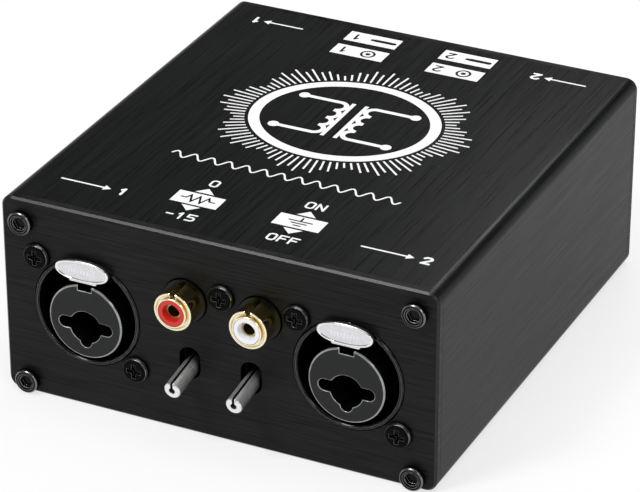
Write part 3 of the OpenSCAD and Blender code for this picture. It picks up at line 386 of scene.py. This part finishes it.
# Combination inputs, latches
# An oval button of cast zinc with a raised rim, on a flat tongue that reaches into the housing. It is plated with
# bright nickel over a frosted field, where fine ribs give the thumb a grip.
nickel_finish, tree = new_finish("bright_nickel_plate")
place = add_node(tree, "TexCoord").outputs["Object"]
grain = add_node(tree, "TexNoise", {"Vector": place, "Scale": 1 / 0.0005, "Detail": 4.0})
gloss = add_node(tree, "MapRange", {0: grain.outputs[0], 3: 0.14, 4: 0.26})
relief = add_node(tree, "Bump", {"Strength": 0.1, "Distance": 0.00003, "Height": grain.outputs[0]})
skin = add_node(tree, "BsdfPrincipled", {"Base Color": linear("#f2f2f3"), "Metallic": 1.0,
    "Roughness": gloss.outputs[0], "Normal": relief.outputs[0]})
add_node(tree, "OutputMaterial", {"Surface": skin.outputs[0]})

frosted_finish, tree = new_finish("frosted_nickel_plate")
place = add_node(tree, "TexCoord").outputs["Object"]
grain = add_node(tree, "TexNoise", {"Vector": place, "Scale": 1 / 0.0007, "Detail": 5.0, "Roughness": 0.7})
grey = add_node(tree, "MixRGB", {0: grain.outputs[0], 1: linear("#cdcdd1"), 2: linear("#f0f0f3")})
relief = add_node(tree, "Bump", {"Strength": 0.5, "Distance": 0.00008, "Height": grain.outputs[0]})
skin = add_node(tree, "BsdfPrincipled", {"Base Color": grey.outputs[0], "Metallic": 0.7, "Roughness": 0.36,
    "Normal": relief.outputs[0]})
add_node(tree, "OutputMaterial", {"Surface": skin.outputs[0]})

button_h = 0.0048
button_t = 0.00075
button_fullness = 0.9
button_points = 72
# Each ring of the button: its distance in from the outline, and its depth behind the front
button_rings = ((0, button_t), (0, 0.00022), (0.00008, 0.00006), (0.00024, 0), (0.0005, 0), (0.00062, 0.00014),
    (0.0009, 0.00016), (0.0014, 0.00011), (0.0019, 0.00008))
field_ring = 5
rib_count = 9
rib_pitch = 0.0007
rib_size = (0.0003, 0.0001, 0.0011)
tongue_w = 0.0062
tongue_t = 0.0015
tongue_setback = 0.0004
tongue_edge = 0.00015


def box_in(work, low, high):
    """A box between two corners, whose edges are given back for rounding."""
    corners = [work.verts.new((x, y, z)) for x in (low[0], high[0]) for y in (low[1], high[1])
        for z in (low[2], high[2])]
    for quad in ((0, 1, 3, 2), (4, 6, 7, 5), (0, 4, 5, 1), (2, 3, 7, 6), (0, 2, 6, 4), (1, 5, 7, 3)):
        work.faces.new([corners[i] for i in quad])
    return {edge for corner in corners for edge in corner.link_edges}


def latch_mesh(node):
    """Button, ribs and tongue of one latch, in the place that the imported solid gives."""
    low, high = (Vector(corner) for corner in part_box(node))
    middle = Vector(((low.x + high.x) / 2, low.y, high.z - button_h / 2))
    button_w = high.x - low.x
    work = bmesh.new()
    loops = []
    for inset, depth in button_rings:
        loop = []
        for i in range(button_points):
            turn = 2 * math.pi * i / button_points
            across, up = (math.copysign(abs(f(turn)) ** button_fullness, f(turn)) for f in (math.cos, math.sin))
            reach = Vector(((button_w / 2 - inset) * across, depth, (button_h / 2 - inset) * up))
            loop.append(work.verts.new(middle + reach))
        loops.append(loop)
    for k, (outer, inner) in enumerate(zip(loops, loops[1:])):
        for i in range(button_points):
            j = (i + 1) % button_points
            face = work.faces.new((outer[i], outer[j], inner[j], inner[i]))
            face.material_index = 1 if k >= field_ring else 0
    work.faces.new(loops[0])
    work.faces.new(loops[-1][::-1]).material_index = 1
    for k in range(rib_count):
        foot = middle + Vector(((k - (rib_count - 1) / 2) * rib_pitch, button_rings[-1][1], 0))
        half = Vector(rib_size) / 2
        edges = box_in(work, foot - half, foot + half)
        bmesh.ops.bevel(work, geom=list(edges), offset=rib_size[0] / 4, segments=2, affect="EDGES", material=0)
    edges = box_in(work, (middle.x - tongue_w / 2, low.y + tongue_setback, low.z),
        (middle.x + tongue_w / 2, high.y, low.z + tongue_t))
    bmesh.ops.bevel(work, geom=list(edges), offset=tongue_edge, segments=2, affect="EDGES", material=0)
    bmesh.ops.recalc_face_normals(work, faces=work.faces)
    mesh = bpy.data.meshes.new(node)
    work.to_mesh(mesh)
    work.free()
    return mesh


for side in ("left", "right"):
    show(latch_mesh("combo_latch_" + side), nickel_finish, "combo_latch_" + side, frosted_finish)


# Toggle levers
# Rolled from nickel plated strip and polished round and round, so that the light draws bright lines along them,
# crossed by fine turning marks. The seam and the hole along the middle are darkened with painted shade, and so
# are the lever near the panel and its underside; only its top and tip keep the full bright colour.
lever_edge = 0.00014
turning_mark = 0.0003
turning_run = 0.006
crevice = 0.0009
lever_reach = 0.006
lever_finish, tree = new_finish("turned_nickel_strip")
place = add_node(tree, "TexCoord").outputs["Object"]
round_it = add_node(tree, "Mapping", {"Vector": place, "Scale": (1 / turning_run, 1 / turning_mark, 1 / turning_run)})
marks = add_node(tree, "TexNoise", {"Vector": round_it.outputs[0], "Scale": 1.0, "Detail": 3.0})
grey = add_node(tree, "MixRGB", {0: marks.outputs[0], 1: linear("#e4e4e4"), 2: linear("#ffffff")})
# Painted shade: ambient occlusion over a short reach turns the seam and the hole along the middle near black.
openness = add_node(tree, "AmbientOcclusion", {"Distance": crevice}, samples=8).outputs["AO"]
crevice_shade_mix = add_node(tree, "MapRange", {0: openness, 1: 0.35, 2: 0.8})
metal = add_node(tree, "MixRGB", {0: crevice_shade_mix.outputs[0], 1: linear("#0a0a0a"), 2: grey.outputs[0]})
# Painted shade towards the panel and on the underside: occlusion over a longer reach and the downward facing normals
# darken the colour, while the top and the end of the tip keep it bright.
shelter = add_node(tree, "AmbientOcclusion", {"Distance": lever_reach}, samples=8).outputs["AO"]
lit = add_node(tree, "MapRange", {0: shelter, 1: 0.42, 2: 0.74, 3: 0.1, 4: 1.0})
facing = add_node(tree, "SeparateXYZ", {"Vector": add_node(tree, "NewGeometry").outputs["Normal"]}).outputs
painted_top_light = add_node(tree, "MapRange", {0: facing["Z"], 1: -0.3, 2: 0.7, 3: 0.25, 4: 1.0})
tip = add_node(tree, "MapRange", {0: facing["Y"], 1: -0.75, 2: -0.5, 3: 1.0, 4: 0.0})
shade = add_node(tree, "Math", {0: painted_top_light.outputs[0], 1: tip.outputs[0]}, operation="MAXIMUM")
bright = add_node(tree, "Math", {0: lit.outputs[0], 1: shade.outputs[0]}, operation="MULTIPLY")
metal = add_node(tree, "MixRGB", {0: bright.outputs[0], 1: linear("#0c0c0c"), 2: metal.outputs[0]})
gloss = add_node(tree, "MapRange", {0: marks.outputs[0], 3: 0.24, 4: 0.36})
relief = add_node(tree, "Bump", {"Strength": 0.3, "Distance": 0.00004, "Height": marks.outputs[0]})
around = add_node(tree, "Tangent", direction_type="RADIAL", axis="Y")
skin = add_node(tree, "BsdfPrincipled", {"Base Color": metal.outputs[0], "Metallic": 0.85,
    "Roughness": gloss.outputs[0], "Normal": relief.outputs[0], "Anisotropic": 0.9, "Anisotropic Rotation": 0.25,
    "Tangent": around.outputs[0]})
add_node(tree, "OutputMaterial", {"Surface": skin.outputs[0]})
for side in ("left", "right"):
    show(softened("toggle_lever_" + side, lever_edge), lever_finish, "toggle_lever_" + side)


# Connector screws
# Pan head screws with a cross recess, in a blacker steel than the case screws. The rim of each head carries the
# painted highlight.
black_screw_finish, tree = new_finish("oiled_black_steel")
place = add_node(tree, "TexCoord").outputs["Object"]
grain = add_node(tree, "TexNoise", {"Vector": place, "Scale": 1 / 0.0006, "Detail": 3.0})
black = add_node(tree, "MixRGB", {0: grain.outputs[0], 1: linear("#020202"), 2: linear("#070707")})
gloss = add_node(tree, "MapRange", {0: grain.outputs[0], 3: 0.14, 4: 0.26})
skin = add_node(tree, "BsdfPrincipled", {"Base Color": black.outputs[0], "Roughness": gloss.outputs[0],
    "Specular IOR Level": 0.05})
add_node(tree, "OutputMaterial", {"Surface": skin.outputs[0]})
for node in ("front_connector_screws", "rear_connector_screws"):
    show(leaning(softened(node, screw_edge), 0.3, 0.6), black_screw_finish, node, screw_highlight_finish)


# Phono sockets
# A gold plated shell rolled round a coloured insulator, in a black moulded body. The faces of the shell that face
# the front carry a painted highlight in pale cream gold.
phono_edge = 0.00008
gold_finish, tree = new_finish("polished_gold_plate")
place = add_node(tree, "TexCoord").outputs["Object"]
grain = add_node(tree, "TexNoise", {"Vector": place, "Scale": 1 / 0.0006, "Detail": 3.0})
gloss = add_node(tree, "MapRange", {0: grain.outputs[0], 3: 0.12, 4: 0.22})
relief = add_node(tree, "Bump", {"Strength": 0.08, "Distance": 0.00003, "Height": grain.outputs[0]})
skin = add_node(tree, "BsdfPrincipled", {"Base Color": linear("#ecd28e"), "Metallic": 1.0,
    "Roughness": gloss.outputs[0], "Normal": relief.outputs[0]})
add_node(tree, "OutputMaterial", {"Surface": skin.outputs[0]})

# Painted highlight: pale cream gold for the front faces of the shells.
lip_highlight_finish, tree = new_finish("painted_highlight_gold_lip")
place = add_node(tree, "TexCoord").outputs["Object"]
grain = add_node(tree, "TexNoise", {"Vector": place, "Scale": 1 / 0.0008, "Detail": 3.0})
cream = add_node(tree, "MixRGB", {0: grain.outputs[0], 1: linear("#fcefc4"), 2: linear("#fffae4")})
skin = add_node(tree, "BsdfPrincipled", {"Base Color": cream.outputs[0], "Metallic": 0.75, "Roughness": 0.24})
add_node(tree, "OutputMaterial", {"Surface": skin.outputs[0]})

plastics = {}
for name, dark, light in (("red_polyethylene", "#c01c12", "#d82a1c"), ("white_polyethylene", "#e9e9ee", "#f4f4f8")):
    plastics[name], tree = new_finish(name)
    place = add_node(tree, "TexCoord").outputs["Object"]
    grain = add_node(tree, "TexNoise", {"Vector": place, "Scale": 1 / 0.0007, "Detail": 3.0})
    tint = add_node(tree, "MixRGB", {0: grain.outputs[0], 1: linear(dark), 2: linear(light)})
    relief = add_node(tree, "Bump", {"Strength": 0.1, "Distance": 0.00003, "Height": grain.outputs[0]})
    skin = add_node(tree, "BsdfPrincipled", {"Base Color": tint.outputs[0], "Roughness": 0.3,
        "Normal": relief.outputs[0], "IOR": 1.51})
    add_node(tree, "OutputMaterial", {"Surface": skin.outputs[0]})

for end in ("front", "rear"):
    show(softened("rca_housing_" + end, phono_edge), nylon_finish, "rca_housing_" + end)
    for side, plastic in (("left", "red_polyethylene"), ("right", "white_polyethylene")):
        shell = f"rca_shell_{end}_{side}"
        insulator = f"rca_insulator_{end}_{side}"
        show(leaning(softened(shell, phono_edge), 0.6, 1.1), gold_finish, shell, lip_highlight_finish)
        show(softened(insulator, phono_edge), plastics[plastic], insulator)


# Jacks
# Quarter-inch sockets, moulded with a threaded bush and held by a plated nut.
nut_edge = 0.00015
for side in ("left", "right"):
    # The rounded edges of the body take the painted highlight.
    show(softened("jack_body_" + side, moulded_edge), nylon_finish, "jack_body_" + side, edge_highlight_finish)
    show(softened("jack_nut_" + side, nut_edge), nickel_finish, "jack_nut_" + side)


# Contacts and pins
# Punched brass inside the sockets, and tinned pins where they are soldered or plugged.
brass_finish, tree = new_finish("punched_brass")
place = add_node(tree, "TexCoord").outputs["Object"]
grain = add_node(tree, "TexNoise", {"Vector": place, "Scale": 1 / 0.0008, "Detail": 3.0})
gloss = add_node(tree, "MapRange", {0: grain.outputs[0], 3: 0.25, 4: 0.4})
yellow = add_node(tree, "MixRGB", {0: grain.outputs[0], 1: linear("#a4925a"), 2: linear("#c2b27a")})
skin = add_node(tree, "BsdfPrincipled", {"Base Color": yellow.outputs[0], "Metallic": 1.0,
    "Roughness": gloss.outputs[0]})
add_node(tree, "OutputMaterial", {"Surface": skin.outputs[0]})
finish_in(brass_finish, "combo_contacts_left", "combo_contacts_right", "rca_contacts_front", "rca_contacts_rear")

tin_finish, tree = new_finish("tinned_pins")
place = add_node(tree, "TexCoord").outputs["Object"]
grain = add_node(tree, "TexNoise", {"Vector": place, "Scale": 1 / 0.0006, "Detail": 3.0})
gloss = add_node(tree, "MapRange", {0: grain.outputs[0], 3: 0.22, 4: 0.38})
grey = add_node(tree, "MixRGB", {0: grain.outputs[0], 1: linear("#b6b6b4"), 2: linear("#d0d0ce")})
skin = add_node(tree, "BsdfPrincipled", {"Base Color": grey.outputs[0], "Metallic": 1.0,
    "Roughness": gloss.outputs[0]})
add_node(tree, "OutputMaterial", {"Surface": skin.outputs[0]})
finish_in(tin_finish, "xlr_pins_left", "xlr_pins_right", "toggle_terminals", "transformer_pins", "jack_terminals")


# Latch springs
# Each spring stands against the housing at its far end, and shortens as its latch is pressed. Here each keeps
# the imported shape, on a mesh of its own.
wire_edge = 0.00004
for side in ("left", "right"):
    spring = "combo_spring_" + side
    low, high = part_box(spring)
    coil = show(softened(spring, wire_edge), tin_finish, spring)
    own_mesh(coil)


# Board
# Glass laminate under green solder mask. The glass weave shows faintly through the mask.
glass_weave = 0.0012
board_finish, tree = new_finish("green_solder_mask")
place = add_node(tree, "TexCoord").outputs["Object"]
parts_of_place = add_node(tree, "SeparateXYZ", {"Vector": place}).outputs
waves = []
for axis in ("X", "Y"):
    turns = add_node(tree, "Math", {0: parts_of_place[axis], 1: 2 * math.pi / glass_weave}, operation="MULTIPLY")
    waves.append(add_node(tree, "Math", {0: turns.outputs[0]}, operation="SINE").outputs[0])
weave = add_node(tree, "Math", {0: waves[0], 1: waves[1]}, operation="MULTIPLY")
shade = add_node(tree, "MapRange", {0: weave.outputs[0], 1: -1.0, 2: 1.0})
green = add_node(tree, "MixRGB", {0: shade.outputs[0], 1: linear("#145a2c"), 2: linear("#1c6b37")})
relief = add_node(tree, "Bump", {"Strength": 0.15, "Distance": 0.00003, "Height": weave.outputs[0]})
skin = add_node(tree, "BsdfPrincipled", {"Base Color": green.outputs[0], "Roughness": 0.28,
    "Normal": relief.outputs[0], "IOR": 1.52})
add_node(tree, "OutputMaterial", {"Surface": skin.outputs[0]})
finish_in(board_finish, "main_board")


# Switch bodies
# Small moulded blocks in a thermoset so dark a blue that it looks black in the slots.
thermoset_finish, tree = new_finish("blue_thermoset")
place = add_node(tree, "TexCoord").outputs["Object"]
grain = add_node(tree, "TexNoise", {"Vector": place, "Scale": 1 / 0.0006, "Detail": 3.0})
blue = add_node(tree, "MixRGB", {0: grain.outputs[0], 1: linear("#070a12"), 2: linear("#0d121e")})
relief = add_node(tree, "Bump", {"Strength": 0.2, "Distance": 0.00004, "Height": grain.outputs[0]})
skin = add_node(tree, "BsdfPrincipled", {"Base Color": blue.outputs[0], "Roughness": 0.45,
    "Normal": relief.outputs[0], "IOR": 1.55})
add_node(tree, "OutputMaterial", {"Surface": skin.outputs[0]})
for side in ("left", "right"):
    show(softened("toggle_body_" + side, moulded_edge), thermoset_finish, "toggle_body_" + side)


# Transformers
# Stacked steel laminations round a moulded bobbin, wound with fine enamelled copper wire.
lamination = 0.0005
core_finish, tree = new_finish("steel_laminations")
place = add_node(tree, "TexCoord").outputs["Object"]
depth = add_node(tree, "SeparateXYZ", {"Vector": place}).outputs["Y"]
turns = add_node(tree, "Math", {0: depth, 1: 2 * math.pi / lamination}, operation="MULTIPLY")
sheets = add_node(tree, "Math", {0: turns.outputs[0]}, operation="SINE")
shade = add_node(tree, "MapRange", {0: sheets.outputs[0], 1: -1.0, 2: 1.0})
grey = add_node(tree, "MixRGB", {0: shade.outputs[0], 1: linear("#3c4047"), 2: linear("#6b7078")})
relief = add_node(tree, "Bump", {"Strength": 0.5, "Distance": 0.00005, "Height": sheets.outputs[0]})
skin = add_node(tree, "BsdfPrincipled", {"Base Color": grey.outputs[0], "Metallic": 1.0, "Roughness": 0.42,
    "Normal": relief.outputs[0]})
add_node(tree, "OutputMaterial", {"Surface": skin.outputs[0]})

bobbin_finish, tree = new_finish("cream_nylon")
place = add_node(tree, "TexCoord").outputs["Object"]
grain = add_node(tree, "TexNoise", {"Vector": place, "Scale": 1 / 0.0009, "Detail": 3.0})
cream = add_node(tree, "MixRGB", {0: grain.outputs[0], 1: linear("#dfd7bf"), 2: linear("#ece6d2")})
skin = add_node(tree, "BsdfPrincipled", {"Base Color": cream.outputs[0], "Roughness": 0.4, "IOR": 1.53})
add_node(tree, "OutputMaterial", {"Surface": skin.outputs[0]})

wire = 0.0002
copper_finish, tree = new_finish("enamelled_copper_winding")
place = add_node(tree, "TexCoord").outputs["Object"]
height = add_node(tree, "SeparateXYZ", {"Vector": place}).outputs["Z"]
turns = add_node(tree, "Math", {0: height, 1: 2 * math.pi / wire}, operation="MULTIPLY")
strands = add_node(tree, "Math", {0: turns.outputs[0]}, operation="SINE")
shade = add_node(tree, "MapRange", {0: strands.outputs[0], 1: -1.0, 2: 1.0})
copper = add_node(tree, "MixRGB", {0: shade.outputs[0], 1: linear("#7a3312"), 2: linear("#c46a32")})
relief = add_node(tree, "Bump", {"Strength": 0.6, "Distance": 0.00005, "Height": strands.outputs[0]})
skin = add_node(tree, "BsdfPrincipled", {"Base Color": copper.outputs[0], "Metallic": 1.0, "Roughness": 0.3,
    "Normal": relief.outputs[0], "Coat Weight": 0.6, "Coat Roughness": 0.15})
add_node(tree, "OutputMaterial", {"Surface": skin.outputs[0]})
for side in ("left", "right"):
    for node, finish in (("core_", core_finish), ("bobbin_", bobbin_finish), ("winding_", copper_finish)):
        show(softened("transformer_" + node + side, moulded_edge), finish, "transformer_" + node + side)


# Pad resistors
# Dipped film resistors on tinned leads.
lacquer_finish, tree = new_finish("blue_resistor_lacquer")
place = add_node(tree, "TexCoord").outputs["Object"]
grain = add_node(tree, "TexNoise", {"Vector": place, "Scale": 1 / 0.0007, "Detail": 3.0})
blue = add_node(tree, "MixRGB", {0: grain.outputs[0], 1: linear("#5f92c4"), 2: linear("#7aa9d6")})
skin = add_node(tree, "BsdfPrincipled", {"Base Color": blue.outputs[0], "Roughness": 0.25, "IOR": 1.5})
add_node(tree, "OutputMaterial", {"Surface": skin.outputs[0]})
finish_in(lacquer_finish, "pad_resistors")
